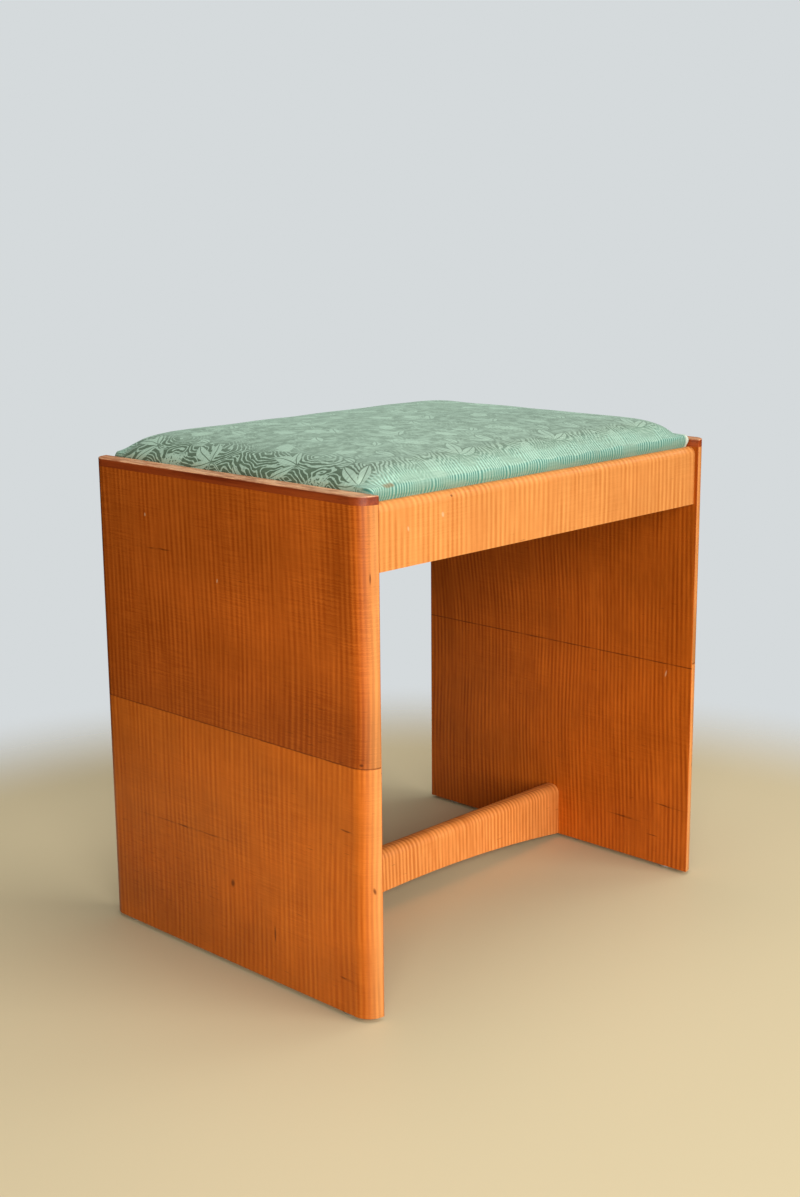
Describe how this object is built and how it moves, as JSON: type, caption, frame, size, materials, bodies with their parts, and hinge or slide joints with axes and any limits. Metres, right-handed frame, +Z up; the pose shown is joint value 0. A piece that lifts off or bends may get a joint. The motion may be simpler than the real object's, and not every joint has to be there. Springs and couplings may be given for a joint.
{
  "type": "upholstered stool",
  "caption": "Upholstered stool with slab side panels, rounded edges, aprons, a low arched stretcher and a padded drop-in seat that lifts out.",
  "frame": {"origin": "on the floor, under the middle of the stool's footprint", "axes": "+X along the width from the left panel to the right panel, +Y from front to back, +Z up"},
  "size_m": [0.488, 0.364, 0.4869],
  "materials": {
    "veneer_upper": "satin shellac over ripple-figured veneer, warm amber",
    "veneer_lower": "satin shellac over ripple-figured veneer, slightly lighter amber",
    "veneer_inner": "satin shellac over ripple-figured veneer, amber",
    "veneer_rail": "satin shellac over ripple-figured veneer, light amber",
    "cap_hardwood": "satin shellac over dark red-brown hardwood",
    "core_wood": "sawn, unfinished",
    "block_wood": "sawn, unfinished",
    "dowel_wood": "turned, unfinished",
    "seat_frame_wood": "planed, unfinished",
    "screw_steel": "dull steel",
    "glide_metal": "dark, worn",
    "tack_steel": "blued steel",
    "webbing_jute": "woven jute strap",
    "hessian": "open plain weave",
    "padding": "cotton and hair wadding",
    "cover_damask": "sage green satin damask"
  },
  "bodies": {
    "stool_frame": {"apron_dowels": "dowel_wood", "back_apron_core": "core_wood", "back_apron_veneer": "veneer_rail", "corner_block_back_left": "block_wood", "corner_block_back_right": "block_wood", "corner_block_front_left": "block_wood", "corner_block_front_right": "block_wood", "front_apron_core": "core_wood", "front_apron_veneer": "veneer_rail", "glide_back_left": "glide_metal", "glide_back_right": "glide_metal", "glide_front_left": "glide_metal", "glide_front_right": "glide_metal", "ledger_screws": "screw_steel", "left_cap_strip": "cap_hardwood", "left_panel_core": "core_wood", "left_panel_inner_veneer_lower": "veneer_inner", "left_panel_inner_veneer_upper": "veneer_inner", "left_panel_outer_veneer_lower": "veneer_lower", "left_panel_outer_veneer_upper": "veneer_upper", "left_seat_ledger": "block_wood", "right_cap_strip": "cap_hardwood", "right_panel_core": "core_wood", "right_panel_inner_veneer_lower": "veneer_inner", "right_panel_inner_veneer_upper": "veneer_inner", "right_panel_outer_veneer_lower": "veneer_lower", "right_panel_outer_veneer_upper": "veneer_upper", "right_seat_ledger": "block_wood", "stretcher_core": "core_wood", "stretcher_dowels": "dowel_wood", "stretcher_veneer": "veneer_rail"},
    "seat": {"cover_tacks": "tack_steel", "seat_cover": "cover_damask", "seat_frame_dowels": "dowel_wood", "seat_hessian": "hessian", "seat_padding": "padding", "seat_rail_back": "seat_frame_wood", "seat_rail_front": "seat_frame_wood", "seat_rail_left": "seat_frame_wood", "seat_rail_right": "seat_frame_wood", "webbing_crosswise": "webbing_jute", "webbing_lengthwise": "webbing_jute", "webbing_tacks": "tack_steel"}
  },
  "joints": [
    {"name": "seat_lift", "type": "slide", "parent": "stool_frame", "child": "seat", "axis": [0, 0, 1], "range_m": [0, 0.12]}
  ]
}
